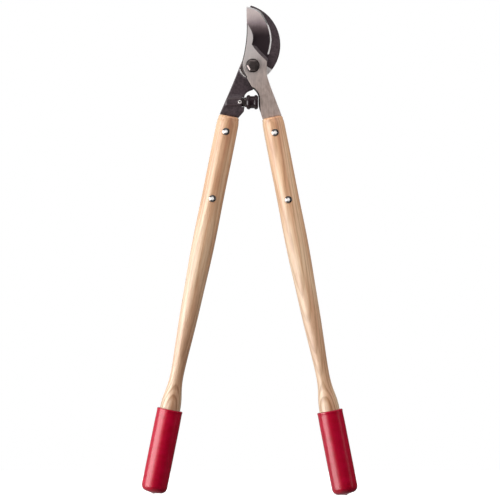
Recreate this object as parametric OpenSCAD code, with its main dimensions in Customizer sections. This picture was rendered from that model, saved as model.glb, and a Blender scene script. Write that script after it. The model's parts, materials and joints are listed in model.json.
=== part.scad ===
// Bypass loppers with forged jaws, wooden handles and dipped grips, shown closed and upright.
// +X points to the blade handle's side, +Z to the jaw tips, and -Y is the blade's front face.
// The origin is on the pivot axis, in the plane of the blade's front face.

/* [Jaws] */
// Thickness of the blade
blade_t = 7; // [6:0.5:8]
// Thickness of the hook
hook_t = 10; // [9:0.5:11]
// Radius of the blade's curved cutting edge
edge_r = 71.3; // [71:0.1:72]
// Thickness left behind the honed bevel
bevel_t = 2; // [1.5:0.1:2.5]
// Width of the honed bevel
bevel_w = 2.8; // [2.4:0.1:3.4]
// Radius of the hook's curved back
hook_r = 70.7; // [70.4:0.1:71.2]
// Radius of the machined pad around the pivot
pad_r = 22; // [21:0.5:23]
// How far the forged skin lies below the machined pad
skin_drop = 1.2; // [0.6:0.1:1.6]

/* [Pivot] */
// Radius of the pivot bolt where the blade turns
bolt_r = 6; // [5.5:0.1:6.5]
// Radius of the bolt's thread
thread_r = 5; // [4.5:0.1:5]
// Distance across the flats of the bolt's head
head_af = 19; // [18:0.5:20]
// Radius of the flange under the bolt's head
flange_r = 12; // [11.5:0.1:12.5]
// Distance across the flats of the pivot nut
nut_af = 17; // [16:0.5:18]

/* [Handles] */
// Tilt of the hook's handle from upright, in degrees
hook_tilt = 11.4; // [11:0.1:12]
// Tilt of the blade's handle from upright, in degrees
blade_tilt = 11.1; // [10.8:0.1:12]
// Length of the wood, most of it bare
wood_len = 652; // [640:1:655]
// Distance from the top of the wood to the grip
grip_start = 515; // [505:1:518]
// Length of a grip
grip_len = 148; // [144:1:152]
// Radius of a grip
grip_r = 22.25; // [21.75:0.25:23]
// Length of a tang inside the wood
tang_len = 165; // [160:1:180]

/* [Rivets] */
// Radius of a rivet's shank
rivet_r = 3; // [2.5:0.1:3.2]
// Radius of a rivet's domed head
rivet_head_r = 6.35; // [6:0.05:6.5]
// Distances of the rivets from the top of the wood
rivet_places = [27.5, 145];

/* [Bumper] */
// Radius of the rubber bumper
bumper_r = 12.5; // [12:0.1:13]
// Height of the bumper's axis below the pivot
bumper_drop = 63; // [62:0.5:64]
// Radius of the bumper's threaded stud
stud_r = 4; // [3:0.5:4]

/* [Hidden] */
$fn = 64;

// Clearance of a fixed fit and of a running fit, on the radius
fit_gap = 0.03;
run_gap = 0.05;
thread_gap = 0.25;
// Where the two jaws meet, and the hook's rear face
hook_y = blade_t + run_gap;
back_y = hook_y + hook_t;
// The handles, tangs and bumper are centred on the plane where the jaws meet
mid_y = blade_t;
shank_t = 11;
shank_y0 = mid_y - shank_t / 2;
shank_y1 = mid_y + shank_t / 2;
// Tangs: thickness, and half the width at the top and at the end
tang_t = 8;
tang_top = 13;
tang_end = 7;
// Centres of the arcs that shape the cutting edge, the hook's back and the hook's throat
edge_c = [-38.9, 44.5];
hook_c = [-23.1, 35.8];
throat_c = [-36, 40];
throat_r = 64;
// Tip of the blade, and the slope of the edge that runs down from it, in degrees
blade_tip = [-10.6, 101.6];
tip_slope = 22;
// How much deeper the hollow grind is at its middle, and the radius where that is
hollow_depth = 2.4;
hollow_r = 30;
// Centre of the top of the wood on each side
hook_top = [-40.5, -86.8];
blade_top = [33.4, -88.6];
// Reach of each shank to its outer and its inner side, where it meets the wood
hook_reach = [16.6, 16.2];
blade_reach = [16.6, 16.9];
// Parts of the pivot, from front to back
washer_t = 0.8;
flange_t = 2.2;
head_h = 5.8;
head_seat = -run_gap - washer_t;
rear_washer_t = 1.6;
nut_h = 8.4;
ring_h = 2.6;
nut_y = back_y + rear_washer_t;
ring_y = nut_y + nut_h;
ring_wall = 1;
ring_r = nut_af / 2 - 2 * ring_wall;
neck_flat = bolt_r - 1;
neck_end = back_y - 0.4;
bush_r = bolt_r + 2;
rear_washer_r = 10.5;
// How far a hexagon's corners reach past its flats once they are turned down
corner_past = 1.4;
// Parts of the bumper, from left to right: rib across the shank, jam nut, washer, rubber, disc
rib_x0 = -45.5;
rib_x1 = -19;
rib_t = 13.6;
rib_w = 11.6;
jam_t = 5.2;
jam_af = 13;
jam_room = jam_af / 2 + 1.4;
bumper_washer_t = 2.9;
bumper_washer_r = 8.5;
bumper_x0 = rib_x1 + jam_t + bumper_washer_t;
bumper_x1 = 9.5;
stud_disc_r = 8.5;
stud_disc_x = -1;
stud_disc_t = 2.5;
// Where a rivet's head rests on the wood, measured from the middle of the wood
rivet_seat = 17.7;
rivet_dome = 2.7;
burr_t = 1.2;
burr_r = 5.6;
// Outline of a rivet's peened end, as [radius, height over the burr]
peen = [[0, 0], [4.2, 0], [4, 0.9], [3, 1.5], [0, 1.7]];
// Slack that cuts run past a face
cut = 1;
// Flat ends of the wood: radius at the top and at the bottom
wood_top_r = 15;
wood_end_r = 13;

// Widths of the wood, as [distance from its top, width]
wood_widths = [
    [1, 33], [5, 36.2], [14, 37.7], [60, 38.3], [140, 38], [205, 39], [250, 38],
    [300, 34.8], [350, 31.8], [395, 27.7], [430, 24.1], [458, 23], [476, 25.8],
    [492, 31.6], [506, 34.6], [530, 35.4], [600, 34.4], [645, 33.2]
];

// A smooth curve through the points of p, with n steps between each pair
function curve(p, n) = [
    for (i = [0 : len(p) - 2], k = [0 : n - 1])
        let (
            a = p[max(i - 1, 0)], b = p[i], c = p[i + 1], d = p[min(i + 2, len(p) - 1)],
            t = k / n
        )
        0.5 * (2 * b + (c - a) * t + (2 * a - 5 * b + 4 * c - d) * t * t
            + (3 * b - a - 3 * c + d) * t * t * t),
    p[len(p) - 1]
];

// Points on an arc about c, from angle a0 to a1
function arc(c, r, a0, a1, n) = [
    for (i = [0 : n]) let (a = a0 + (a1 - a0) * i / n) c + r * [cos(a), sin(a)]
];

// Outline of the blade and its shank: cutting edge, heel, outer side, inner side, spine
blade_outline = concat(
    curve([blade_tip, [2, 98.6], [14.3, 92], [22.9, 78.4], [29.2, 64.5], [32.4, 47],
        [31, 32], [28, 19.8]], 4),
    [[26.6, 12]],
    curve([[24.7, 5.4], [23.9, -9], [25.3, -19.5], [32, -39.6]], 3),
    [blade_top + blade_reach[0] * [cos(blade_tilt), sin(blade_tilt)]],
    [blade_top - blade_reach[1] * [cos(blade_tilt), sin(blade_tilt)]],
    curve([[13.4, -80], [10.6, -71], [10, -61], [9.8, -53.5], [6.8, -46.5], [1, -40.1]], 3),
    curve([[-10.7, -19.8], [-15.5, -11.5], [-17.9, -2.8], [-18.4, 5.5], [-14.6, 22.4],
        [-11.4, 43], [-10.1, 63.6], [-10.5, 84.3]], 3)
);

// Ground area of the blade's front: all of the tip, and a pocket that ends short of the pivot
ground_outline = concat(
    [[-20, 120], [-20, 74]],
    curve([[-8.5, 71], [-5, 65], [-1.4, 58], [0.3, 51], [0.3, 44.5], [-1.5, 36.5]], 4),
    curve([[3, 29.5], [9.5, 22], [17, 14.4], [24.7, 7]], 3),
    [[60, 0], [60, 120]]
);

// Outline of the hook and its shank: back of the crescent, throat, bumper side, outer side,
// pivot eye, inner edge
hook_outline = concat(
    arc(hook_c, hook_r, 73.6, -45, 30),
    curve([[17.5, -22], [8.5, -33], [-0.3, -42]], 3),
    curve([[-4.6, -43.4], [-9.8, -46.2], [-13.4, -50.6], [-14.2, -54]], 3),
    [[-14.2, -72.6], [-15.2, -79.2]],
    [hook_top + hook_reach[1] * [cos(hook_tilt), -sin(hook_tilt)]],
    [hook_top - hook_reach[0] * [cos(hook_tilt), -sin(hook_tilt)]],
    [[-37.8, -39.6]],
    curve([[-29.2, -18.9], [-24.9, -7.8], [-20.6, 2.4], [-14.6, 15.5], [-7, 20.6],
        [4, 20.8], [13, 18.4], [20, 18.6], [25, 24.5]], 4),
    arc(throat_c, throat_r, -10, 63.2, 20)
);

// Side views of the forgings, as [distance to the back, height]
blade_side = [
    [0, 120], [blade_t, 120], [blade_t, -52], [shank_y1, -62], [shank_y1, -125], [0, -125]
];
hook_side = [
    [hook_y, 120], [back_y, 120], [back_y, -50], [shank_y1, -60], [shank_y1, -125],
    [shank_y0, -125], [shank_y0, -60], [hook_y + skin_drop, -50], [hook_y + skin_drop, -40],
    [hook_y, -38]
];

// Extrudes an outline in the X-Z plane from y0 back to y1
module slab(y0, y1) {
    translate([0, y1, 0]) rotate([90, 0, 0]) linear_extrude(y1 - y0) children();
}

// Extrudes a side view in the Y-Z plane across the whole width of the jaws
module side_view(points) {
    jaws_w = 150;
    translate([-jaws_w / 2, 0, 0])
        rotate([90, 0, 90])
            linear_extrude(jaws_w)
                polygon(points);
}

// A round bar along Y
module rod_y(r, y0, y1) {
    translate([0, y0, 0]) rotate([-90, 0, 0]) cylinder(r = r, h = y1 - y0);
}

// A round bar along X
module rod_x(r, x0, x1) {
    translate([x0, 0, 0]) rotate([0, 90, 0]) cylinder(r = r, h = x1 - x0);
}

// A hexagonal bar along Y, af across its flats
module hex_y(af, y0, y1) {
    translate([0, y0, 0]) rotate([-90, 0, 0]) cylinder(d = af / cos(30), h = y1 - y0, $fn = 6);
}

// Turns a profile of [radius, distance back] about the Y axis
module lathe_y() {
    rotate([-90, 0, 0]) rotate_extrude() children();
}

// Puts its children at the top of a handle's wood, where -Z runs down the handle
module at_handle(top, tilt) {
    translate([top[0], mid_y, top[1]]) rotate([0, tilt, 0]) children();
}

// Puts its children on each rivet's axis
module at_rivets() {
    for (z = rivet_places) translate([0, 0, -z]) children();
}

// A tang that tapers down the handle, made larger on every side by gap
module tang(gap) {
    slab(-tang_t / 2 - gap, tang_t / 2 + gap)
        polygon([[-tang_top - gap, cut], [tang_top + gap, cut],
            [tang_end + gap, -tang_len - gap], [-tang_end - gap, -tang_len - gap]]);
}

// The double-D neck that stops the bolt turning in the hook, made larger by gap
module neck(gap) {
    intersection() {
        rod_y(bolt_r + gap, hook_y - cut, neck_end);
        slab(hook_y - cut, neck_end) square([3 * bolt_r, 2 * (neck_flat + gap)], center = true);
    }
}

// The wood's outer shape, turned to a changing width, made larger on every side by gap
module wood_shape(gap) {
    half = [for (p = curve(wood_widths, 3)) [p[1] / 2 + gap, -p[0]]];
    rotate_extrude()
        polygon(concat([[0, 0], [wood_top_r + gap, 0]], half,
            [[wood_end_r + gap, -wood_len - gap], [0, -wood_len - gap]]));
}

// Metal of the blade: flat plate with a centred tang
module blade_body() {
    intersection() {
        slab(-cut, back_y) polygon(blade_outline);
        side_view(blade_side);
    }
    at_handle(blade_top, -blade_tilt) tang(0);
}

// Space in front of the ground part of the blade: a hollow that runs out into the honed bevel
module grind() {
    bevel_r = edge_r - bevel_w;
    floor_y = blade_t - bevel_t;
    span = bevel_r - hollow_r;
    hollow = [
        for (r = [hollow_r : 4 : bevel_r - 2]) [r, floor_y - hollow_depth * pow((bevel_r - r) / span, 2)]
    ];
    past_edge = edge_r + 9;
    intersection() {
        translate([edge_c[0], 0, edge_c[1]])
            lathe_y()
                polygon(concat(hollow, [[bevel_r, floor_y], [edge_r + 0.6, blade_t],
                    [past_edge, blade_t], [past_edge, -cut], [hollow_r, -cut]]));
        slab(-2 * cut, blade_t + cut) polygon(ground_outline);
    }
}

// Planes off the honed bevel along the straight part of the edge near the tip
module tip_bevel() {
    block = [50, 12, 12];
    translate([blade_tip[0], blade_t, blade_tip[1]])
        rotate([0, tip_slope, 0])
            rotate([-atan(bevel_w / bevel_t), 0, 0])
                translate([-block[0] * 0.4, -block[1], -0.2])
                    cube(block);
}

module blade_forging() {
    color("silver")
        difference() {
            blade_body();
            grind();
            tip_bevel();
            rod_y(bush_r + fit_gap, -cut, blade_t + cut);
            at_handle(blade_top, -blade_tilt)
                at_rivets()
                    rod_y(rivet_r + fit_gap, -tang_t, tang_t);
        }
}

// Metal of the hook: crescent, pivot eye, shank with a centred tang, and the rib that holds the stud
module hook_body() {
    intersection() {
        slab(-cut, back_y + cut) polygon(hook_outline);
        side_view(hook_side);
    }
    at_handle(hook_top, hook_tilt) tang(0);
    translate([rib_x0, mid_y - rib_t / 2, -bumper_drop - rib_w / 2])
        cube([rib_x1 - rib_x0, rib_t, rib_w]);
}

// Skin below the level of the machined pad, on the shank's side of the pivot
module shank_skin() {
    slab(hook_y - cut, hook_y + skin_drop)
        difference() {
            polygon([[-60, 10], [-18, 10], [30, -30], [30, -60], [-60, -60]]);
            circle(pad_r + 1.5);
        }
}

module hook_forging() {
    color("dimgray")
        difference() {
            hook_body();
            shank_skin();
            neck(fit_gap);
            rod_y(bolt_r + fit_gap, hook_y - cut, hook_y + cut);
            rod_y(thread_r + thread_gap, back_y - 2 * cut, back_y + cut);
            translate([0, mid_y, -bumper_drop]) {
                rod_x(stud_r + fit_gap, rib_x0 - cut, 0);
                rod_x(jam_room, rib_x1, 0);
            }
            at_handle(hook_top, hook_tilt)
                at_rivets()
                    rod_y(rivet_r + fit_gap, -tang_t, tang_t);
        }
}

// Wood with a slot for the tang, rivet holes and flat seats for the rivets
module handle() {
    outside = rivet_seat + 3;
    seat_r = rivet_head_r + 0.2;
    color("burlywood")
        difference() {
            wood_shape(0);
            tang(fit_gap * 3);
            at_rivets() {
                rod_y(rivet_r + fit_gap, -outside, outside);
                rod_y(seat_r, -outside, -rivet_seat);
                rod_y(seat_r, rivet_seat, outside);
            }
        }
}

// A dipped grip: a round sleeve with a blunt conical end, closed over the end of the wood
module grip() {
    end_r = 11;
    cone = 12;
    lip = 1.6;
    flat_r = grip_r - end_r + end_r * sin(cone);
    corner_z = flat_r * tan(cone) + end_r * cos(cone) - grip_len;
    color("crimson")
        translate([0, 0, -grip_start])
            difference() {
                rotate_extrude()
                    polygon(concat(
                        [[0, 0], [grip_r - lip, 0]],
                        [[grip_r, -lip]],
                        arc([grip_r - end_r, corner_z], end_r, 0, cone - 90, 10),
                        [[0, -grip_len]]
                    ));
                translate([0, 0, grip_start]) wood_shape(fit_gap);
            }
}

// Domed rivets, each headed at the front and peened over its burr at the back
module rivets() {
    dome_r = (rivet_head_r * rivet_head_r + rivet_dome * rivet_dome) / (2 * rivet_dome);
    dome_y = dome_r - rivet_dome - rivet_seat;
    rim = asin(rivet_head_r / dome_r);
    peen_y = rivet_seat + burr_t;
    at_rivets() {
        rod_y(rivet_r, -rivet_seat, peen_y);
        lathe_y() polygon(concat([[0, -rivet_seat]],
            arc([0, dome_y], dome_r, rim - 90, -90, 8)));
        lathe_y() translate([0, peen_y]) polygon(peen);
    }
}

// Washers under the peened ends of the rivets
module rivet_burrs() {
    color("gainsboro")
        at_rivets()
            difference() {
                rod_y(burr_r, rivet_seat, rivet_seat + burr_t);
                rod_y(rivet_r + fit_gap, rivet_seat - cut, rivet_seat + burr_t + cut);
            }
}

// Flanged bolt with a domed hexagonal head, a round journal, a double-D neck and a thread
module pivot_bolt() {
    flange_y = head_seat - flange_t;
    flange_edge = 0.9;
    head_y = flange_y - head_h;
    corner_r = head_af / 2 + corner_past;
    color("dimgray") {
        lathe_y() polygon([[0, head_seat], [flange_r, head_seat], [flange_r, head_seat - flange_edge],
            [corner_r - 1, flange_y], [0, flange_y]]);
        intersection() {
            hex_y(head_af, head_y, flange_y);
            lathe_y() polygon([[0, flange_y], [corner_r, flange_y], [corner_r, head_y + 3],
                [0.8 * corner_r, head_y + 1], [0.45 * corner_r, head_y + 0.15], [0, head_y]]);
        }
        rod_y(bolt_r, head_seat, hook_y);
        neck(0);
        rod_y(thread_r, back_y - cut, ring_y + ring_h);
    }
}

module thrust_washer() {
    color("goldenrod")
        difference() {
            rod_y(flange_r - 0.6, head_seat, -run_gap);
            rod_y(bolt_r + fit_gap, head_seat - cut, cut);
        }
}

module pivot_bush() {
    color("peru")
        difference() {
            rod_y(bush_r, 0, blade_t);
            rod_y(bolt_r + run_gap, -cut, blade_t + cut);
        }
}

module pivot_washer() {
    color("silver")
        difference() {
            rod_y(rear_washer_r, back_y, nut_y);
            rod_y(thread_r + thread_gap, back_y - cut, nut_y + cut);
        }
}

// Lock nut: hexagon with a round collar that holds the ring
module pivot_nut() {
    flat_r = nut_af / 2;
    corner_r = flat_r + corner_past;
    color("silver")
        difference() {
            union() {
                intersection() {
                    hex_y(nut_af, nut_y, ring_y);
                    lathe_y() polygon([[0, nut_y], [flat_r, nut_y], [corner_r, nut_y + 1],
                        [corner_r, ring_y - 1], [flat_r, ring_y], [0, ring_y]]);
                }
                rod_y(ring_r + ring_wall, ring_y, ring_y + ring_h);
            }
            rod_y(thread_r + fit_gap, nut_y - cut, ring_y + ring_h + cut);
            rod_y(ring_r, ring_y, ring_y + ring_h - ring_wall);
        }
}

module nut_lock_ring() {
    color("royalblue")
        difference() {
            rod_y(ring_r - fit_gap, ring_y + fit_gap, ring_y + ring_h - ring_wall - fit_gap);
            rod_y(thread_r + fit_gap, ring_y - cut, ring_y + ring_h + cut);
        }
}

// Threaded stud with a disc that anchors it in the rubber
module bumper_stud() {
    color("silver")
        translate([0, mid_y, -bumper_drop]) {
            rod_x(stud_r, rib_x0 + 4, stud_disc_x + cut);
            rod_x(stud_disc_r, stud_disc_x, stud_disc_x + stud_disc_t);
        }
}

module bumper_jam_nut() {
    color("silver")
        translate([rib_x1 + fit_gap, mid_y, -bumper_drop])
            rotate([0, 90, 0])
                difference() {
                    cylinder(d = jam_af / cos(30), h = jam_t - 2 * fit_gap, $fn = 6);
                    translate([0, 0, -cut]) cylinder(r = stud_r + fit_gap, h = jam_t + 2 * cut);
                }
}

module bumper_washer() {
    color("silver")
        translate([0, mid_y, -bumper_drop])
            difference() {
                rod_x(bumper_washer_r, bumper_x0 - bumper_washer_t, bumper_x0 - fit_gap);
                rod_x(stud_r + fit_gap, bumper_x0 - bumper_washer_t - cut, bumper_x0 + cut);
            }
}

// Rubber spool moulded round the stud's disc
module rubber_bumper() {
    corner = 4;
    waist = bumper_r - 1.8;
    length = bumper_x1 - bumper_x0;
    color("black")
        translate([0, mid_y, -bumper_drop])
            difference() {
                translate([bumper_x0, 0, 0])
                    rotate([0, 90, 0])
                        rotate_extrude()
                            polygon(concat(
                                [[0, 0]],
                                arc([bumper_r - corner, corner], corner, -90, 0, 6),
                                curve([[bumper_r, corner + 1.2], [waist, length / 2],
                                    [bumper_r, length - corner - 1.2]], 5),
                                arc([bumper_r - corner, length - corner], corner, 0, 90, 6),
                                [[0, length]]
                            ));
                rod_x(stud_r + fit_gap, bumper_x0 - cut, stud_disc_x + cut);
                rod_x(stud_disc_r + fit_gap, stud_disc_x - fit_gap,
                    stud_disc_x + stud_disc_t + fit_gap);
            }
}

module left_handle() { at_handle(hook_top, hook_tilt) handle(); }
module left_grip() { at_handle(hook_top, hook_tilt) grip(); }
module left_rivets() { color("gainsboro") at_handle(hook_top, hook_tilt) rivets(); }
module left_rivet_burrs() { at_handle(hook_top, hook_tilt) rivet_burrs(); }
module right_handle() { at_handle(blade_top, -blade_tilt) handle(); }
module right_grip() { at_handle(blade_top, -blade_tilt) grip(); }
module right_rivets() { color("gainsboro") at_handle(blade_top, -blade_tilt) rivets(); }
module right_rivet_burrs() { at_handle(blade_top, -blade_tilt) rivet_burrs(); }

hook_forging();
left_handle();
left_grip();
left_rivets();
left_rivet_burrs();
pivot_bolt();
thrust_washer();
pivot_washer();
pivot_nut();
nut_lock_ring();
bumper_stud();
bumper_jam_nut();
bumper_washer();
rubber_bumper();
blade_forging();
pivot_bush();
right_handle();
right_grip();
right_rivets();
right_rivet_burrs();
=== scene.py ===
"""Looks for the bypass loppers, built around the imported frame.

Shapes are in millimetres until they become meshes. Points of the blade and the hook are [x, z], because
both lie flat in the X-Z plane. The front is towards -Y.
"""

import json
import math

import bpy
import numpy as np
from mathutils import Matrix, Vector
from mathutils.geometry import delaunay_2d_cdt


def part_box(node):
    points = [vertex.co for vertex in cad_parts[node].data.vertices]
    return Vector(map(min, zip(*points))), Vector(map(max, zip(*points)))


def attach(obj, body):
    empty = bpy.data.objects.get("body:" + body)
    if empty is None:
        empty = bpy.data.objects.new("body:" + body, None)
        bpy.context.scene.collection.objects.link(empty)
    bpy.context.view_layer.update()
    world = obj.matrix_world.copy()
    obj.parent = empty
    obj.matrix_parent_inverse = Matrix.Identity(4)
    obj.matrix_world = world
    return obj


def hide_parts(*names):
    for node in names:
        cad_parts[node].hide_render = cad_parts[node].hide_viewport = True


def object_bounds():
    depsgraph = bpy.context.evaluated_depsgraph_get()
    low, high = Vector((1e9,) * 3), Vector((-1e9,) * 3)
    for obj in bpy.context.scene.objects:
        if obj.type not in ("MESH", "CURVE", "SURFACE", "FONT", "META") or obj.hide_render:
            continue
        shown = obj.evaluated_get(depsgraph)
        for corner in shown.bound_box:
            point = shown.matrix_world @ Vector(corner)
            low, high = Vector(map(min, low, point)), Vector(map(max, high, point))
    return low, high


MM = 0.001

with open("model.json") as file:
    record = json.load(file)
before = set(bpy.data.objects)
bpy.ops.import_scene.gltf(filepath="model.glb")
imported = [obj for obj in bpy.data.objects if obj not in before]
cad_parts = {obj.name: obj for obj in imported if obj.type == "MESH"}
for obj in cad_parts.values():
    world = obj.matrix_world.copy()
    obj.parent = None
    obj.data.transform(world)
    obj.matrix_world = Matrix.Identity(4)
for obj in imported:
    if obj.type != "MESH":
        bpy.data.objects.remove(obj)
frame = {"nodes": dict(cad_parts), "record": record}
cad_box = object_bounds()
record = frame["record"]


# ---------------------------------------------------------------- frame readings


def node_points(name):
    """A CAD node's vertices in millimetres."""
    data = frame["nodes"][name].data
    co = np.zeros(len(data.vertices) * 3)
    data.vertices.foreach_get("co", co)
    return co.reshape(-1, 3) / MM


def box_mm(name):
    lo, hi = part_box(name)
    return np.array(lo) / MM, np.array(hi) / MM


class Handle:
    """Where a handle lies: its top centre, its axis down to the grip, and the turned radii of its pieces."""

    def __init__(self, side, body):
        mount = next(m for m in record["mounts"] if m["name"] == side + "_grip")
        self.side = side
        self.body = body
        self.down = np.array(mount["axis"]) / np.linalg.norm(mount["axis"])
        on_axis = np.array(mount["pos_m"]) / MM
        wood = node_points(side + "_handle")
        self.top = on_axis + self.down * ((wood - on_axis) @ self.down).min()
        self.across = np.array([-self.down[2], 0, self.down[0]])
        self.wood = self.radii(wood)
        self.grip = self.radii(node_points(side + "_grip"))

    def radii(self, points):
        """[depth, outer radius] rows, from points well to the side of the rivets and away from the axis."""
        from_top = points - self.top
        depth = from_top @ self.down
        out = from_top - np.outer(depth, self.down)
        radius = np.linalg.norm(out, axis=1)
        to_side = (np.abs(out[:, 1]) < 0.5 * radius) & (radius > 0.55 * radius.max())
        rings = {}
        for d, r in zip(np.round(depth[to_side], 2), radius[to_side]):
            rings[d] = max(rings.get(d, 0), r)
        return np.array(sorted(rings.items()))

    def depths(self, piece):
        """How far below the top each point of one of the handle's own pieces lies."""
        return (node_points(self.side + "_" + piece) - self.top) @ self.down

    def rivet_depths(self):
        """The middles of the two rivets, which are one node."""
        d = self.depths("rivets")
        split = (d.min() + d.max()) / 2
        return [float((d[k].min() + d[k].max()) / 2) for k in (d < split, d >= split)]

    def below_top(self, p):
        """How far below the top points of the X-Z plane lie."""
        return (p - self.top[[0, 2]]) @ self.down[[0, 2]]

    def spot(self, x, depth=0.0):
        """The point of the X-Z plane so far to the side of the axis and so far below the top."""
        p = self.top + self.across * x + self.down * depth
        return [p[0], p[2]]

    def place(self, local):
        """Points in the frame from [across, depth below the top, distance to the back]."""
        return (
            self.top
            + np.outer(local[:, 0], self.across)
            + np.outer(local[:, 1], self.down)
            + np.outer(local[:, 2], (0, 1, 0))
        )

    def place_rivet(self, depth, sign=1):
        """The place function of what is turned about a rivet's axis. sign is -1 for what faces the front."""
        return lambda q: self.place(np.column_stack([q[:, 0], depth + q[:, 2], sign * q[:, 1]]))


left = Handle("left", "hook_half")
right = Handle("right", "blade_half")

# Planes of the forgings, from front to back
BLADE_T = box_mm("pivot_bush")[1][1]
HOOK_Y = BLADE_T + 0.05
BACK_Y = box_mm("pivot_washer")[0][1]
MID_Y = left.top[1]
SHANK_Y = (MID_Y - 5.5, MID_Y + 5.5)
TANG_Y = (MID_Y - 4.0, MID_Y + 4.0)

BUMPER_Z = float(np.mean([corner[2] for corner in box_mm("rubber_bumper")]))
RIB_X1 = box_mm("bumper_jam_nut")[0][0]

# Corners of the tangs inside the wood: [across, depth below the wood's top]
TANG = [(13.0, 0.0), (7.0, 165.0), (-7.0, 165.0), (-13.0, 0.0)]


# ---------------------------------------------------------------- 2D helpers

WALL_STEP = 1.2
NUDGE = 0.05  # a short way off a line, to find which side of it is inside
TOUCH = 0.01  # points this close to a plane are on it


def curve(points, steps):
    """A smooth curve through the points, with so many steps between each pair."""
    p = np.array(points, float)
    out = []
    for i in range(len(p) - 1):
        a, b, c, d = p[max(i - 1, 0)], p[i], p[i + 1], p[min(i + 2, len(p) - 1)]
        for k in range(steps):
            t = k / steps
            out.append(
                0.5
                * (
                    2 * b
                    + (c - a) * t
                    + (2 * a - 5 * b + 4 * c - d) * t * t
                    + (3 * b - a - 3 * c + d) * t**3
                )
            )
    return np.vstack(out + [p[-1]])


def arc(centre, radius, start, end, steps):
    a = np.radians(np.linspace(start, end, steps + 1))
    return np.array(centre) + radius * np.column_stack([np.cos(a), np.sin(a)])


def dense(line, step, closed=False):
    """The same line with points no more than a step apart."""
    p = np.vstack([line, line[:1]]) if closed else np.array(line)
    out = []
    for a, b in zip(p[:-1], p[1:]):
        n = max(1, int(math.ceil(np.linalg.norm(b - a) / step)))
        out += [a + (b - a) * k / n for k in range(n)]
    return np.array(out if closed else out + [p[-1]])


def distance(points, line, closed=False):
    """Distance of each point from a line of segments."""
    a = np.array(line)
    b = np.roll(a, -1, axis=0) if closed else a[1:]
    a = a if closed else a[:-1]
    best = np.full(len(points), 1e9)
    for p, q in zip(a, b):
        d = q - p
        t = np.clip(((points - p) @ d) / max(d @ d, 1e-12), 0, 1)
        best = np.minimum(best, np.linalg.norm(points - p - t[:, None] * d, axis=1))
    return best


def inside(points, loop):
    x, y = points[:, 0], points[:, 1]
    hit = np.zeros(len(points), bool)
    a, b = loop, np.roll(loop, -1, axis=0)
    for p, q in zip(a, b):
        if p[1] == q[1]:
            continue
        crosses = (p[1] > y) != (q[1] > y)
        hit ^= crosses & (x < (q[0] - p[0]) * (y - p[1]) / (q[1] - p[1]) + p[0])
    return hit


def smooth(t):
    t = np.clip(t, 0, 1)
    return t * t * (3 - 2 * t)


def ramp(v, a, b):
    """0 at a, 1 at b, eased at both ends."""
    return smooth((v - a) / (b - a))


def normals(t):
    """Unit normals of tangents."""
    return np.column_stack([-t[:, 1], t[:, 0]]) / np.linalg.norm(t, axis=1)[:, None]


def inset(loop, d):
    """Points a distance d inside the loop, leaving out those that fold over at a corner."""
    n = normals(np.roll(loop, -1, axis=0) - np.roll(loop, 1, axis=0))
    if not inside((loop + n * NUDGE)[:1], loop)[0]:
        n = -n
    p = loop + n * d
    return p[inside(p, loop) & (distance(p, loop, True) > 0.93 * d)]


def beside(line, d, loop):
    """The line a distance d, or one distance for each point, inside an open line that lies on a loop."""
    d = np.broadcast_to(d, len(line))
    n = normals(np.gradient(line, axis=0))
    middle = len(line) // 2
    if not inside((line + n * NUDGE)[middle : middle + 1], loop)[0]:
        n = -n
    p = line + n * d[:, None]
    return p[inside(p, loop) & (distance(p, line) > 0.95 * d) & (d > 0.1)]


def rounding(rim, r):
    """How far a rounded edge has fallen at a distance rim in from the rim."""
    return r - np.sqrt(np.maximum(r**2 - (r - np.minimum(rim, r)) ** 2, 0))


def wall_loop(parts):
    """A closed outline through the parts, with points close enough for a smooth wall."""
    return dense(np.vstack(parts), WALL_STEP, closed=True)


def circle(centre, r, n=48):
    return arc(centre, r, 0, 360 - 360 / n, n - 1)


# ---------------------------------------------------------------- mesh helpers

GRID = 2.2
GRID_ROW = 0.866 * GRID  # between the rows of a grid of even triangles
SEGMENTS = 96


def new_object(name, data):
    o = bpy.data.objects.new(name, data)
    bpy.context.scene.collection.objects.link(o)
    return o


def new_mesh(name, verts, faces):
    """A mesh in metres from points in millimetres."""
    mesh = bpy.data.meshes.new(name)
    mesh.from_pydata([Vector(v) * MM for v in verts], [], [tuple(f) for f in faces])
    return mesh


def smooth_shade(mesh, sharp):
    """Smooth shading, except over edges sharper than so many degrees."""
    mesh.polygons.foreach_set("use_smooth", [True] * len(mesh.polygons))
    mesh.set_sharp_from_angle(angle=math.radians(sharp))


def add_piece(name, verts, faces, materials, body, slot, face_slots=None, sharp=35):
    """A shaded piece that rides on a body and replaces the CAD node of its name."""
    mesh = new_mesh(name, verts, faces)
    mesh.validate()
    for m in materials:
        mesh.materials.append(m)
    if face_slots is not None:
        mesh.polygons.foreach_set("material_index", np.array(face_slots, np.int32))
    smooth_shade(mesh, sharp)
    mesh.update()
    o = new_object(name, mesh)
    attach(o, body)
    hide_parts(name)
    return o


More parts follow.
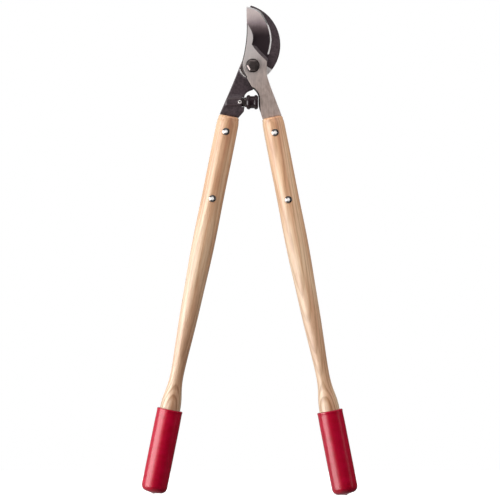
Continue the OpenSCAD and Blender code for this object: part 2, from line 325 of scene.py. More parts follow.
def plate(loops, lines, rings):
    """Points and triangles that fill an outline. The first loop is the outside, and the rest are holes.
    rings are the distances of the rows of points along the outside, and lines are creases to follow."""
    pts, edges = [], []
    for loop in loops:
        n = len(pts)
        pts += list(loop)
        edges += [(n + i, n + (i + 1) % len(loop)) for i in range(len(loop))]
    for line in lines:
        n = len(pts)
        pts += list(line)
        edges += [(n + i, n + i + 1) for i in range(len(line) - 1)]
    lo, hi = loops[0].min(0), loops[0].max(0)
    rows = []
    for j, z in enumerate(np.arange(lo[1], hi[1], GRID_ROW)):
        xs = np.arange(lo[0] + (j % 2) * GRID / 2, hi[0], GRID)
        rows.append(np.column_stack([xs, np.full(len(xs), z)]))
    field = np.vstack(rows)
    field = field[inside(field, loops[0])]
    field = field[distance(field, loops[0], True) > rings[-1] + 0.4 * GRID]
    free = np.vstack([inset(loops[0], d) for d in rings] + [field])
    for loop in loops[1:]:
        free = free[~inside(free, loop) & (distance(free, loop, True) > 0.35 * GRID)]
    for line in lines:
        free = free[distance(free, line) > 0.3]
    out = delaunay_2d_cdt([Vector(p) for p in np.vstack([pts, free])], edges, [], 0, 1e-5)
    points = np.array([tuple(v) for v in out[0]])
    tris = np.array([f for f in out[2] if len(f) == 3])
    centre = points[tris].mean(1)
    keep = inside(centre, loops[0])
    for loop in loops[1:]:
        keep &= ~inside(centre, loop)
    return points, tris[keep]


def forge(name, loops, lines, rings, front, back, slots, materials, body, slot):
    """A closed forging from a plate. front and back give its heights, and slots its faces' materials."""
    points, tris = plate(loops, lines, rings)
    used = np.unique(tris)
    index = np.full(len(points), -1)
    index[used] = np.arange(len(used))
    points, tris = points[used], index[tris]
    a, b, c = (points[tris[:, k]] for k in range(3))
    turn = (b[:, 0] - a[:, 0]) * (c[:, 1] - a[:, 1]) - (b[:, 1] - a[:, 1]) * (c[:, 0] - a[:, 0])
    tris[turn < 0] = tris[turn < 0][:, ::-1]
    n = len(points)
    verts = np.vstack([np.column_stack([points[:, 0], y(points), points[:, 1]]) for y in (front, back)])
    directed = [(t[i], t[(i + 1) % 3]) for t in tris for i in range(3)]
    known = set(directed)
    walls = [(i, i + n, j + n, j) for (i, j) in directed if (j, i) not in known]
    faces = [tuple(t) for t in tris]
    faces += [tuple(x + n for x in t[::-1]) for t in tris]
    faces += walls
    centre = points[tris].mean(1)
    wall_mid = np.array([(points[w[0]] + points[w[3]]) / 2 for w in walls])
    picked = np.concatenate([slots(centre, "front"), slots(centre, "back"), slots(wall_mid, "wall")])
    add_piece(name, verts, faces, materials, body, slot, picked)


def bridge(rings):
    """Faces between each ring of vertex numbers and the next. A ring of one vertex is a pole."""
    faces = []
    for p, q in zip(rings[:-1], rings[1:]):
        count = max(len(p), len(q))
        for i in range(count):
            j = (i + 1) % count
            if len(p) == 1:
                faces.append((p[0], q[i], q[j]))
            elif len(q) == 1:
                faces.append((p[i], q[0], p[j]))
            else:
                faces.append((p[i], q[i], q[j], p[j]))
    return faces


def lathe(profile, place, segments=SEGMENTS):
    """Turns [radius, height] rows about an axis. A radius is a number or one for each segment, and a row of
    radius 0 closes on the axis. place maps [side, height, back] to the frame."""
    angle = np.linspace(0, 2 * math.pi, segments, endpoint=False)
    verts, rings = [], []
    for r, h in profile:
        if np.max(r) < 1e-6:
            rings.append([len(verts)])
            verts.append((0, h, 0))
        else:
            rings.append(list(range(len(verts), len(verts) + segments)))
            each = zip(np.broadcast_to(r, segments), angle)
            verts += [(x * math.cos(a), h, x * math.sin(a)) for x, a in each]
    return place(np.array(verts, float)), bridge(rings)


def outward(verts, faces):
    """The faces turned so that the closed shape's volume is positive."""
    v = np.array(verts)
    total = 0.0
    for f in faces:
        for i in range(1, len(f) - 1):
            total += v[f[0]] @ np.cross(v[f[i]], v[f[i + 1]])
    return faces if total > 0 else [tuple(f)[::-1] for f in faces]


# ---------------------------------------------------------------- materials


def nodes_of(name):
    m = bpy.data.materials.new(name)
    m.use_nodes = True
    tree = m.node_tree
    return m, tree, tree.nodes["Principled BSDF"]


def link(tree, a, b):
    tree.links.new(a, b)


def noise(tree, scale, stretch=(1, 1, 1), detail=6.0, rough=0.6, coords=None):
    """Noise over the piece's own coordinates, stretched along chosen axes."""
    mapping = tree.nodes.new("ShaderNodeMapping")
    mapping.inputs["Scale"].default_value = stretch
    if coords is None:
        coords = tree.nodes.new("ShaderNodeTexCoord").outputs["Object"]
    link(tree, coords, mapping.inputs["Vector"])
    n = tree.nodes.new("ShaderNodeTexNoise")
    n.inputs["Scale"].default_value = scale
    n.inputs["Detail"].default_value = detail
    n.inputs["Roughness"].default_value = rough
    link(tree, mapping.outputs["Vector"], n.inputs["Vector"])
    return n.outputs["Fac"]


def colour_ramp(tree, value, *stops):
    """The colour at a value, from (position, colour) stops."""
    r = tree.nodes.new("ShaderNodeValToRGB")
    while len(r.color_ramp.elements) < len(stops):
        r.color_ramp.elements.new(0.5)
    for e, (pos, col) in zip(r.color_ramp.elements, stops):
        e.position = pos
        e.color = (*col, 1)
    link(tree, value, r.inputs["Fac"])
    return r.outputs["Color"]


def bump(tree, bsdf, height, strength, size):
    b = tree.nodes.new("ShaderNodeBump")
    b.inputs["Strength"].default_value = strength
    b.inputs["Distance"].default_value = size
    link(tree, height, b.inputs["Height"])
    link(tree, b.outputs["Normal"], bsdf.inputs["Normal"])


def value_range(tree, value, lo, hi, start=0.0, end=1.0, kind="LINEAR"):
    """Maps a value from start..end to lo..hi."""
    m = tree.nodes.new("ShaderNodeMapRange")
    m.interpolation_type = kind
    for socket, v in (("From Min", start), ("From Max", end), ("To Min", lo), ("To Max", hi)):
        m.inputs[socket].default_value = v
    link(tree, value, m.inputs["Value"])
    return m.outputs["Result"]


def eased(tree, value, lo, hi, start, end):
    """Like value_range, with an eased start and end."""
    return value_range(tree, value, lo, hi, start, end, "SMOOTHSTEP")


def maths(tree, operation, *values):
    """A math node whose inputs are sockets or numbers."""
    m = tree.nodes.new("ShaderNodeMath")
    m.operation = operation
    for socket, v in zip(m.inputs, values):
        if isinstance(v, (int, float)):
            socket.default_value = v
        else:
            link(tree, v, socket)
    return m.outputs[0]


def blend_colour(tree, kind, share, a, b):
    """Mixes two colours. share is a number or a socket, and so is each colour."""
    m = tree.nodes.new("ShaderNodeMix")
    m.data_type = "RGBA"
    m.blend_type = kind
    for socket, v in ((m.inputs["Factor"], share), (m.inputs["A"], a), (m.inputs["B"], b)):
        if isinstance(v, (int, float)):
            socket.default_value = v
        elif isinstance(v, tuple):
            socket.default_value = (*v, 1)
        else:
            link(tree, v, socket)
    return m.outputs["Result"]


def axes(tree, vector=None):
    """The X, Y and Z sockets of a vector, or of the piece's own coordinates."""
    split = tree.nodes.new("ShaderNodeSeparateXYZ")
    if vector is None:
        vector = tree.nodes.new("ShaderNodeTexCoord").outputs["Object"]
    link(tree, vector, split.inputs["Vector"])
    return split.outputs["X"], split.outputs["Y"], split.outputs["Z"]


def ground_steel(name, dark, light, rough, metallic=0.35, painted_light=None):
    """Satin steel with fine grinding lines along Z. painted_light is a paler colour that grows up and to the
    left, as painted light.
    """
    m, tree, bsdf = nodes_of(name)
    lines = noise(tree, 520, (1, 1, 0.1), detail=8)
    blotch = noise(tree, 170, (1, 1, 0.6), detail=8)
    grain = maths(tree, "ADD", value_range(tree, lines, 0, 0.5), value_range(tree, blotch, 0, 0.5))
    shade = colour_ramp(tree, grain, (0.3, dark), (0.7, light))
    if painted_light:
        # Painted light: the face is painted paler up and to the left, where the lamp lights it most
        x, _, z = axes(tree)
        share = eased(tree, maths(tree, "MULTIPLY_ADD", x, -1.1, z), 0, 1, -0.07, 0.06)
        shade = blend_colour(tree, "MIX", share, shade, blend_colour(tree, "MULTIPLY", 0.35, painted_light, shade))
    link(tree, shade, bsdf.inputs["Base Color"])
    bsdf.inputs["Metallic"].default_value = metallic
    link(tree, value_range(tree, grain, rough - 0.08, rough + 0.08), bsdf.inputs["Roughness"])
    bump(tree, bsdf, lines, 0.25, 0.0002)
    return m


def painted_black():
    """Satin black paint over a slightly rough forged skin."""
    m, tree, bsdf = nodes_of("forged_paint")
    coarse = noise(tree, 300, detail=8)
    fine = noise(tree, 1400, detail=3)
    shade = colour_ramp(tree, coarse, (0.34, (0.03, 0.019, 0.023)), (0.66, (0.078, 0.054, 0.061)))
    link(tree, shade, bsdf.inputs["Base Color"])
    link(tree, value_range(tree, fine, 0.36, 0.52), bsdf.inputs["Roughness"])
    bump(tree, bsdf, maths(tree, "ADD", coarse, value_range(tree, fine, 0, 0.4)), 0.3, 0.0005)
    return m


def handle_coords(tree, handle):
    """Coordinates with their origin at the top of a handle, X across it and Z up along it."""
    turn = tree.nodes.new("ShaderNodeMapping")
    turn.inputs["Rotation"].default_value = (0, math.atan2(handle.down[0], -handle.down[2]), 0)
    turn.inputs["Location"].default_value = (
        -(handle.top @ handle.across) * MM,
        -handle.top[1] * MM,
        (handle.top @ handle.down) * MM,
    )
    link(tree, tree.nodes.new("ShaderNodeTexCoord").outputs["Object"], turn.inputs["Vector"])
    return turn.outputs["Vector"]


def growth_rings(tree, along, pith, lean, phase):
    """How far through its year the wood is, from 0 to 1, around a leaning pith that lies pith millimetres
    to the side and the back of the handle's top."""
    tilt = tree.nodes.new("ShaderNodeMapping")
    tilt.inputs["Rotation"].default_value = (lean[1], lean[0], 0)
    tilt.inputs["Location"].default_value = (-pith[0] * MM, -pith[1] * MM, 0)
    link(tree, along, tilt.inputs["Vector"])
    x, y, _ = axes(tree, tilt.outputs["Vector"])
    radius = maths(tree, "SQRT", maths(tree, "MULTIPLY_ADD", x, x, maths(tree, "MULTIPLY", y, y)))
    sway = noise(tree, 26, (1, 1, 0.2), 3, 0.5, along)
    year = 3.4 * MM
    count = maths(tree, "MULTIPLY_ADD", sway, 2.6, maths(tree, "DIVIDE", radius, year))
    return maths(tree, "FRACT", maths(tree, "ADD", count, phase))


def wood(handle, pith, lean, phase, heartwood, pale):
    """Lacquered hickory, as a solid: growth rings round a pith beside the handle, so that the turned surface
    cuts them into long flames and arches, with streaks and pores, paler towards the grip, and there paler
    still on the left side as painted light. heartwood is the strength of a darker band in the middle, and
    pale brightens the whole."""
    m, tree, bsdf = nodes_of("hickory_" + handle.side)
    along = handle_coords(tree, handle)
    late = (0.62, 0.52, 0.44)
    ring = colour_ramp(
        tree,
        growth_rings(tree, along, pith, lean, phase),
        (0.0, late),
        (0.16, (0.74, 0.64, 0.56)),
        (0.42, (1, 1, 1)),
        (0.86, (0.96, 0.93, 0.9)),
        (1.0, late),
    )

    x, _, z = axes(tree, along)
    patch = noise(tree, 40, (1, 1, 0.1), 5, 0.55, along)
    off = maths(tree, "ABSOLUTE", maths(tree, "SUBTRACT", x, 4.5 * MM))
    band = eased(tree, off, heartwood, 0, 0, 18 * MM)
    heart = maths(tree, "ADD", band, value_range(tree, patch, 0, 1, 0.22, 0.78))
    tones = (
        (0.25, (0.95, 0.76, 0.55)),
        (0.5, (0.88, 0.62, 0.41)),
        (0.75, (0.77, 0.47, 0.29)),
        (1.0, (0.64, 0.34, 0.2)),
    )
    tone = colour_ramp(tree, heart, *((at, tuple(pale * c for c in colour)) for at, colour in tones))

    bands = noise(tree, 170, (1, 1, 0.022), 5, 0.6, along)
    stripe = colour_ramp(tree, bands, (0.36, (0.8, 0.62, 0.53)), (0.5, (1, 0.95, 0.9)), (0.64, (1, 1, 1)))
    streaks = noise(tree, 420, (1, 1, 0.02), 6, 0.6, along)
    pores = noise(tree, 1500, (1, 1, 0.035), 2, 0.5, along)
    streak = colour_ramp(tree, streaks, (0.3, (0.7, 0.58, 0.48)), (0.62, (1, 1, 1)))
    pore = colour_ramp(tree, pores, (0.3, (0.45, 0.32, 0.24)), (0.42, (1, 1, 1)))

    # Painted light: low on the handle the wood is painted paler, most on its left side, where the lamp
    # lights it
    low = eased(tree, z, 0, 0.6, -0.1, -0.36)
    pale_low_painted_light_left = maths(tree, "MULTIPLY", low, eased(tree, x, 0.7, 0.1, -9 * MM, 3 * MM))
    shade = blend_colour(tree, "MIX", pale_low_painted_light_left, tone, (1.0, 0.88, 0.74))
    contrast = value_range(tree, z, 0.6, 1, -0.44, -0.49)
    for share, layer in ((contrast, ring), (0.7, stripe), (0.45, streak), (0.3, pore)):
        shade = blend_colour(tree, "MULTIPLY", share, shade, layer)
    link(tree, shade, bsdf.inputs["Base Color"])
    link(tree, value_range(tree, streaks, 0.4, 0.55), bsdf.inputs["Roughness"])
    bsdf.inputs["Coat Weight"].default_value = 0.3
    bsdf.inputs["Coat Roughness"].default_value = 0.22
    bump(tree, bsdf, streaks, 0.2, 0.0004)
    return m


def vinyl(name, red):
    """Glossy dipped vinyl with the slight waviness of a dipped skin. red is how bright it is."""
    m, tree, bsdf = nodes_of(name)
    wave = noise(tree, 60, (1, 1, 1.6), detail=2)
    peel = noise(tree, 700, detail=2)
    shade = colour_ramp(tree, wave, (0.3, (0.46 * red, 0.0004, 0.02)), (0.7, (0.56 * red, 0.0012, 0.034)))
    link(tree, shade, bsdf.inputs["Base Color"])
    bsdf.inputs["Roughness"].default_value = 0.27
    bump(tree, bsdf, maths(tree, "ADD", wave, value_range(tree, peel, 0, 0.1)), 0.25, 0.0012)
    return m


def rubber():
    """Smooth moulded rubber with a fine grain."""
    m, tree, bsdf = nodes_of("bumper_rubber")
    grain = noise(tree, 900, detail=4)
    shade = colour_ramp(tree, grain, (0.3, (0.014, 0.007, 0.009)), (0.7, (0.028, 0.015, 0.018)))
    link(tree, shade, bsdf.inputs["Base Color"])
    bsdf.inputs["Roughness"].default_value = 0.24
    bump(tree, bsdf, grain, 0.2, 0.0003)
    return m


def bright_metal(name, colour, rough, metallic=1.0):
    """Plated or polished metal with faint scratches."""
    m, tree, bsdf = nodes_of(name)
    marks = noise(tree, 800, (1, 0.3, 1), detail=5)
    dark = tuple(c * 0.82 for c in colour)
    link(tree, colour_ramp(tree, marks, (0.25, dark), (0.7, colour)), bsdf.inputs["Base Color"])
    bsdf.inputs["Metallic"].default_value = metallic
    link(tree, value_range(tree, marks, rough * 0.7, rough * 1.4), bsdf.inputs["Roughness"])
    bump(tree, bsdf, marks, 0.12, 0.0001)
    return m


def steel_with_painted_highlight(name, front):
    """Dark polished steel whose crown, just behind the foremost plane, is painted a pale satin as a painted
    highlight.
    """
    m, tree, bsdf = nodes_of(name)
    _, y, _ = axes(tree)
    marks = noise(tree, 900, detail=5)
    depth = maths(tree, "ADD", y, value_range(tree, marks, -0.12 * MM, 0.12 * MM))
    # Painted highlight: pale satin on the crown, dark polished steel on the flank
    flank = eased(tree, depth, 0, 1, (front + 0.15) * MM, (front + 0.75) * MM)
    shade = blend_colour(tree, "MIX", flank, (0.99, 0.97, 0.95), (0.3, 0.28, 0.27))
    link(tree, shade, bsdf.inputs["Base Color"])
    link(tree, flank, bsdf.inputs["Metallic"])
    link(tree, maths(tree, "MULTIPLY_ADD", flank, -0.2, 0.4), bsdf.inputs["Roughness"])
    bump(tree, bsdf, marks, 0.12, 0.0001)
    return m


def hollow_steel():
    """The blade's hollow: dark steel low down, with a painted reflection that brightens it towards the tip.
    """
    m, tree, bsdf = nodes_of("hollow_grind")
    _, _, z = axes(tree)
    lines = noise(tree, 900, (1, 1, 0.08))
    wobble = noise(tree, 60)
    # Painted reflection: painted brighter towards the tip, where the hollow faces the light
    shade = colour_ramp(
        tree,
        eased(tree, maths(tree, "MULTIPLY_ADD", wobble, 0.012, z), 0, 1, 0.054, 0.1),
        (0.0, (0.03, 0.019, 0.023)),
        (0.3, (0.14, 0.1, 0.105)),
        (0.6, (0.4, 0.315, 0.325)),
        (1.0, (0.74, 0.62, 0.6)),
    )
    streak = colour_ramp(tree, lines, (0.3, (0.6, 0.6, 0.6)), (0.7, (1, 1, 1)))
    link(tree, blend_colour(tree, "MULTIPLY", 0.3, shade, streak), bsdf.inputs["Base Color"])
    bsdf.inputs["Metallic"].default_value = 0.3
    link(tree, value_range(tree, lines, 0.34, 0.5), bsdf.inputs["Roughness"])
    bump(tree, bsdf, lines, 0.25, 0.0002)
    return m


# ---------------------------------------------------------------- blade

BORE_R = 8.02
RIVET_HOLE_R = 3.03
BEVEL_W = 2.5
BEVEL_T = 2.0
EDGE_T = 0.12
SHOULDER_W = 5.2
SKIN_W = 1.5
INNER_SKIN_AND_SHADE_W = 2.8

# The blade's outline and creases, with the pivot at the origin
CUTTING_EDGE = curve(
    [(-10.6, 101.6), (2, 98.6), (14.3, 92), (22.9, 78.4), (29.2, 64.5), (32.4, 47), (31, 32), (28, 19.8)], 8
)
HEEL = curve([(24.7, 5.4), (23.9, -9), (25.3, -19.5), (32, -39.6)], 6)
INNER_SIDE = curve([(13.4, -80), (10.6, -71), (10, -61), (9.8, -53.5), (6.8, -46.5), (1, -40.1)], 6)
SPINE = curve(
    [
        (-10.7, -19.8),
        (-15.5, -11.5),
        (-17.9, -2.8),
        (-18.4, 5.5),
        (-14.6, 22.4),
        (-11.4, 43),
        (-10.1, 63.6),
        (-10.5, 84.3),
    ],
    8,
)
SHOULDER = curve([(3, 29.5), (9.5, 22), (17, 14.4), (27, 5)], 6)
GROUND_SIDE = curve([(-12, 74), (-8.5, 71), (-5, 65), (-1.4, 58), (0.3, 51), (0.3, 44.5), (-1.5, 36.5)], 6)
GROUND_EDGE = np.vstack([GROUND_SIDE, SHOULDER])


def rivet_holes(handle):
    return [circle(handle.spot(0, d), RIVET_HOLE_R, 24) for d in handle.rivet_depths()]


def blade_loops():
    outline = wall_loop(
        [
            CUTTING_EDGE,
            [(26.6, 12)],
            HEEL,
            [right.spot(16.6)],
            [right.spot(x, d) for x, d in TANG],
            [right.spot(-16.9)],
            INNER_SIDE,
            SPINE,
        ]
    )
    return [outline, circle((0, 0), BORE_R)] + rivet_holes(right)


def blade_floor(p):
    """Thickness of the ground part of the blade: bevel, then a hollow that deepens towards the middle."""
    d = distance(p, CUTTING_EDGE)
    d = np.where(p[:, 1] < CUTTING_EDGE[-1][1], np.maximum(d, BEVEL_W + 0.5), d)
    rise = 1.8 + 3.2 * ramp(p[:, 1], 42, 72)
    hollow = BEVEL_T + rise * np.clip((d - BEVEL_W) / 31, 0, 1.1) ** 1.6
    return np.where(d < BEVEL_W, EDGE_T + (BEVEL_T - EDGE_T) * d / BEVEL_W, hollow)


def in_ground(p):
    """Whether points lie on the cutting edge's side of the ground part's border."""
    return inside(p, np.vstack([[(-60, 130)], [(-60, 74)], GROUND_EDGE, [(80, -30)], [(80, 130)]]))


def blade_front(outline):
    def height(p):
        z = p[:, 1]
        rim = distance(p, outline, True)
        edge_r = np.where(distance(p, SPINE) < rim + 0.3, SKIN_W, 0.5)
        y = 0.75 * rounding(rim, edge_r)
        # The step down to the hollow is steep at the side, wider on the shoulder and fades out at the tip
        step = 1.2
        wide = step + (SHOULDER_W - step) * ramp(-z, -40, -32) + 8 * ramp(z, 58, 70)
        share = np.clip(distance(p, GROUND_EDGE) / wide, 0, 1) ** 0.85
        deep = (BLADE_T - blade_floor(p)) * share
        y = np.where(in_ground(p), np.maximum(deep, np.minimum(y, BLADE_T - 1.0)), y)
        return np.where(right.below_top(p) > TOUCH, TANG_Y[0], y)

    return height


def blade_back(outline):
    def height(p):
        y = BLADE_T + (SHANK_Y[1] - BLADE_T) * ramp(-p[:, 1], 51, 63)
        soft = rounding(distance(p, outline, True), 0.6)
        near_edge = distance(p, CUTTING_EDGE) < 2
        return np.where(right.below_top(p) > TOUCH, TANG_Y[1], y - np.where(near_edge, 0, soft))

    return height


def inner_skin_and_shade(p):
    """Width of the dark strip along the inner side, partly unground skin and partly painted shade, which
    runs out just above the wood.
    """
    return INNER_SKIN_AND_SHADE_W * ramp(p[:, 1], -84, -70)


def blade_slots(p, side):
    """0 ground face, 1 hollow, 2 honed bevel, 3 unground skin that is partly painted shade along the inner
    side,
    4 shoulder of the hollow.
    """
    edge = distance(p, CUTTING_EDGE)
    honed = (edge < BEVEL_W) & (p[:, 1] > CUTTING_EDGE[-1][1] - 0.3)
    if side == "wall":
        return np.where(edge < 0.8, 2, 3)
    if side == "back":
        return np.zeros(len(p), int)
    out = np.where(in_ground(p), 1, 0)
    # Along the inner side the dark skin is partly painted shade
    skin = (distance(p, SPINE) < SKIN_W) & (p[:, 1] < 84) | (distance(p, INNER_SIDE) < inner_skin_and_shade(p))
    out = np.where(skin & (out == 0), 3, out)
    shoulder = (distance(p, SHOULDER) < SHOULDER_W) & (p[:, 1] < 36)
    out = np.where(shoulder & (out == 1), 4, out)
    return np.where(honed & (out > 0), 2, out)


def shoulder_line(outline):
    """Where the shoulder of the hollow meets its floor."""
    line = SHOULDER + normals(np.gradient(SHOULDER, axis=0)) * SHOULDER_W
    clear = distance(line, CUTTING_EDGE) > BEVEL_W + 0.4
    return line[inside(line, outline) & clear]


def build_blade():
    loops = blade_loops()
    outline = loops[0]
    creases = [
        beside(CUTTING_EDGE, BEVEL_W, outline),
        beside(SPINE, SKIN_W, outline),
        beside(INNER_SIDE, inner_skin_and_shade(INNER_SIDE), outline),
        GROUND_EDGE[inside(GROUND_EDGE, outline)],
        shoulder_line(outline),
    ]
    materials = [
        # The ground face carries painted light, paler up and to the left
        ground_steel("ground_steel", (0.27, 0.205, 0.18), (0.6, 0.48, 0.43), 0.5, painted_light=(0.78, 0.74, 0.74)),
        hollow_steel(),
        bright_metal("honed_bevel", (0.92, 0.88, 0.87), 0.16, metallic=0.85),
        # Dark unground skin, also used as painted shade along the inner side
        ground_steel("steel_skin_and_shade", (0.016, 0.012, 0.011), (0.04, 0.032, 0.03), 0.5, metallic=0.1),
        ground_steel("shoulder_steel", (0.062, 0.046, 0.052), (0.115, 0.088, 0.095), 0.42, metallic=0.2),
    ]
    rings = (0.3, 0.7, 1.2, 1.8)
    looks = (blade_front(outline), blade_back(outline), blade_slots, materials)
    forge("blade_forging", loops, creases, rings, *looks, right.body, "ground_steel")


# ---------------------------------------------------------------- hook

JOURNAL_HOLE_R = 6.03
PAD_R = 22.0
PAD_RING_W = 1.7
BACK_PAD_R = 13.5
JAM_ROOM = 7.9
RIB_HALF = 5.8
RIB_REACH = 6.8
STAKE = np.array([-22.0, BUMPER_Z + 0.4])
STAKE_RADII = (1.2, 1.7, 2.4, 3.2)

# The hook's outline
HOOK_BACK = arc((-23.1, 35.8), 70.7, 73.6, -45, 60)
HOOK_INNER = arc((-36, 40), 64, -10, 63.2, 40)
SHANK_EDGE = -14.2
CROTCH = curve([(17.5, -22), (8.5, -33), (-0.3, -42)], 6)
BUMPER_SWEEP = curve([(-4.6, -43.4), (-9.8, -46.2), (-13.4, -50.6), (SHANK_EDGE, -54)], 6)
PIVOT_SIDE = curve(
    [
        (-29.2, -18.9),
        (-24.9, -7.8),
        (-20.6, 2.4),
        (-14.6, 15.5),
        (-7, 20.6),
        (4, 20.8),
        (13, 18.4),
        (20, 18.6),
        (25, 24.5),
    ],
    6,
)


def hook_loops():
    above, below = BUMPER_Z + JAM_ROOM, BUMPER_Z - JAM_ROOM
    outline = wall_loop(
        [
            HOOK_BACK,
            CROTCH,
            BUMPER_SWEEP,
            [(SHANK_EDGE, above), (RIB_X1, above), (RIB_X1, below), (SHANK_EDGE, below)],
            [(SHANK_EDGE, -72.6), (-15.2, -79.2)],
            [left.spot(16.2)],
            [left.spot(x, d) for x, d in TANG],
            [left.spot(-16.6)],
            [(-37.8, -39.6)],
            PIVOT_SIDE,
            HOOK_INNER,
        ]
    )
    return [outline, circle((0, 0), JOURNAL_HOLE_R)] + rivet_holes(left)


def rib(p, plane, sign):
    """The rib for the bumper's stud, over the shank's plane. sign is -1 at the front and 1 at the back."""
    side = np.abs(p[:, 1] - BUMPER_Z)
    share = smooth((RIB_HALF + 0.5 - side) / 1.1) * ramp(p[:, 0], -47.5, -44.5)
    return plane + (MID_Y + sign * RIB_REACH - plane) * share


def hook_front(outline):
    def height(p):
        x, z = p[:, 0], p[:, 1]
        # The pad stands proud of the shank, on this side of a slanting line, but not of the jaw beyond it
        shank = z < 10 - (x + 18) * 5 / 6
        y = HOOK_Y + 1.2 * smooth((np.linalg.norm(p, axis=1) - PAD_R - 1.8) / 1.6) * shank
        low = ramp(-z, 47, 61)
        y = rib(p, y * (1 - low) + SHANK_Y[0] * low, -1)
        from_stake = np.linalg.norm(p - STAKE, axis=1)
        y -= 0.55 * smooth(1.3 - np.abs(from_stake - STAKE_RADII[2]) / 0.8)
        y += 2.0 * smooth((1.75 - from_stake) / 0.6)
        rim = distance(p, outline, True)
        edge_r = np.where(distance(p, HOOK_INNER) < rim + 0.2, 0.3, 2.2)
        return np.where(left.below_top(p) > TOUCH, TANG_Y[0], y + 0.85 * rounding(rim, edge_r))

    return height


def hook_back(outline):
    def height(p):
        z = p[:, 1]
        y = BACK_Y - 2.6 * ramp(z, 30, 100)
        low = ramp(-z, 48, 62)
        y = rib(p, y * (1 - low) + SHANK_Y[1] * low, 1)
        soft = rounding(distance(p, outline, True), 2.6)
        slope = 3.2 * (1 - ramp(distance(p, HOOK_INNER), 0, 8)) * ramp(z, 22, 34)
        return np.where(left.below_top(p) > TOUCH, TANG_Y[1], y - np.maximum(soft, slope))

    return height


def hook_slots(p, side):
    """0 paint, 1 bare machined steel, painted paler than it is as painted light, 2 steel painted dark as
    shade on the pad and as a lighter highlight line along the rib's top edge.
    """
    x, z = p[:, 0], p[:, 1]
    r = np.linalg.norm(p, axis=1)
    if side == "wall":
        return np.zeros(len(p), int)
    if side == "back":
        return np.where(r < BACK_PAD_R, 1, 0)
    ring = (r > PAD_R) & (r < PAD_R + PAD_RING_W) & (p @ (-0.8, -0.6) > 0.93 * r)
    jaw = distance(p, HOOK_INNER) < 3.2
    corner = (x > 8) & (z < 14 - 0.62 * x) & (r < 40)
    lip = np.abs(np.linalg.norm(p - STAKE, axis=1) - 2.45) < 0.75
    # Painted highlight: a lighter line of steel along the rib's top edge
    rib_top_highlight = (np.abs(z - BUMPER_Z - RIB_HALF) < 0.7) & (x > -41) & (x < -20)
    # Painted shade: the pad round the pivot is darker steel than the bare ring
    bare = np.where(ring | jaw | corner | lip, 1, np.where((r < PAD_R) | rib_top_highlight, 2, 0))
    return np.where(left.below_top(p) > TOUCH, 0, bare)


def build_hook():
    loops = hook_loops()
    outline = loops[0]
    corner = dense(np.array([(20.0, 1.6), (36.0, -8.32)]), 1.5)
    creases = [corner[inside(corner, outline)]]
    for r in (PAD_R, PAD_R + PAD_RING_W):
        ring = arc((0, 0), r, 150, 300, 60)
        creases.append(ring[inside(ring, outline) & (distance(ring, outline, True) > 0.3)])
    creases += [arc(STAKE, r, 0, 360, 24) for r in STAKE_RADII]
    for side in (-1, 1):
        for past in (-0.7, 0, 0.6):
            z = BUMPER_Z + side * (RIB_HALF + past)
            line = dense(np.array([(-46.0, z), (RIB_X1 - 1.0, z)]), 1.5)
            creases.append(line[inside(line, outline)])
    materials = [
        painted_black(),
        # Bare machined steel, painted paler than its own colour as painted light where the blade shades it
        ground_steel("machined_steel_painted_light", (0.8, 0.74, 0.71), (0.95, 0.9, 0.88), 0.42, metallic=0.3),
        # Steel painted dark as shade on the pad, and lighter than the paint as a highlight on the rib
        ground_steel("bare_steel_painted_shade_and_highlight", (0.1, 0.075, 0.072), (0.19, 0.15, 0.145), 0.36, metallic=0.5),
    ]
    rings = (0.35, 0.8, 1.4, 2.1, 2.8)
    looks = (hook_front(outline), hook_back(outline), hook_slots, materials)
    forge("hook_forging", loops, creases, rings, *looks, left.body, "forged_black")


# ---------------------------------------------------------------- handles, grips, rivets

# Painted shade: these rows at the grip's mouth and the bore are a darker red, for the shade at the rolled
# lip
SHADED_LIP_ROWS = 3  # rows at the grip's mouth that are in its darker colour
SEAT_R = 6.55
BORE_AIR = 0.05  # between the wood and the grip


def turned_rows(rings):
    """[radius, depth] rows at an even step through a handle's turned rings."""
    s = np.arange(rings[0, 0], rings[-1, 0], 3.0)
    r = np.interp(s, rings[:, 0], rings[:, 1])
    soft = np.convolve(np.pad(r, 2, mode="edge"), np.ones(5) / 5, mode="valid")
    return np.column_stack([soft, s])


def cut_seats(obj, handle):
    """Flat seats for the rivets, cut with round bars from the front and the back."""
    seat = box_mm(handle.side + "_rivet_burrs")[0][1] - MID_Y
    bar = [(0, seat), (SEAT_R, seat), (SEAT_R, seat + 5), (0, seat + 5)]
    cutters = []
    for d in handle.rivet_depths():
        for sign in (-1, 1):
            v, f = lathe(bar, handle.place_rivet(d, sign), 48)
            cutters.append(new_object("cutter", new_mesh("cutter", v, outward(v, f))))
    for c in cutters:
        mod = obj.modifiers.new("seat", "BOOLEAN")
        mod.operation = "DIFFERENCE"
        mod.solver = "EXACT"
        mod.object = c
    made = bpy.data.meshes.new_from_object(obj.evaluated_get(bpy.context.evaluated_depsgraph_get()))
    obj.modifiers.clear()
    obj.data = made
    smooth_shade(made, 35)
    for c in cutters:
        bpy.data.objects.remove(c)


def build_handle(handle, material):
    name = handle.side + "_handle"
    end = handle.depths("handle").max()
    crown = [(0, 0), (13.5, 0), (15.4, 0.25), (16.6, 1.1), (17.4, 2.4), (17.95, 4.2)]
    middle = [(r, d) for r, d in turned_rows(handle.wood) if 5 < d < end - 6]
    butt = [(15.6, end - 2.2), (13.5, end - 0.4), (0, end)]
    v, f = lathe(crown + middle + butt, handle.place)
    cut_seats(add_piece(name, v, outward(v, f), [material], handle.body, "wood"), handle)


